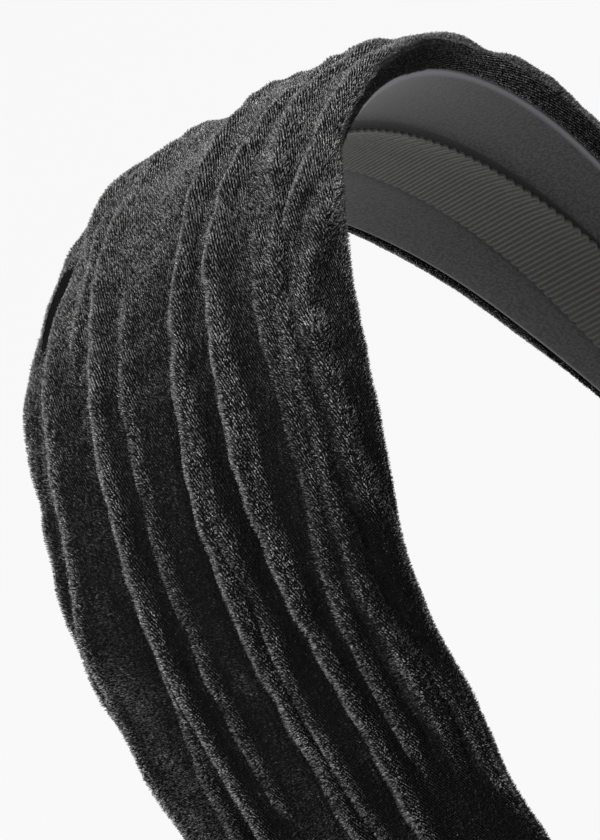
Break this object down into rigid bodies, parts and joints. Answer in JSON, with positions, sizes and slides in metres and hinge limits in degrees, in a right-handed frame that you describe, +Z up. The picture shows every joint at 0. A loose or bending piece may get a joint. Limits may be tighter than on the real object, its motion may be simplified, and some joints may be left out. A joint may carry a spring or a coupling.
{
  "type": "headband",
  "caption": "Wide padded headband: a sprung arch lined inside with a ribbed ribbon down its middle, covered in lengthwise gathered velvet.",
  "frame": {"origin": "on the ground plane, midway between the two feet and midway through the depth", "axes": "+X to the right as seen from the front, -Y towards the front edge, +Z up to the crown; left and right in names are as seen from the front"},
  "size_m": [0.144, 0.0502, 0.1369],
  "materials": {
    "core_plastic": "moulded, satin",
    "pad_foam": "open-cell foam",
    "cover_velvet": "cut-pile velvet with a grey sheen at its ridges",
    "lining_cloth": "smooth matte charcoal lining cloth",
    "ribbon_cloth": "grosgrain, ribs across, soft lustre",
    "adhesive_film": "hot-melt film",
    "gather_thread": "matte cotton thread"
  },
  "bodies": {
    "root": {"core_band": "core_plastic", "foam_pad": "pad_foam", "velvet_cover": "cover_velvet", "lining_wrap": "lining_cloth", "grosgrain_ribbon": "ribbon_cloth", "ribbon_tape": "adhesive_film", "front_hem_tape": "adhesive_film", "rear_hem_tape": "adhesive_film", "left_gather_thread": "gather_thread", "right_gather_thread": "gather_thread", "left_tip_wrap": "cover_velvet", "right_tip_wrap": "cover_velvet"}
  },
  "joints": []
}
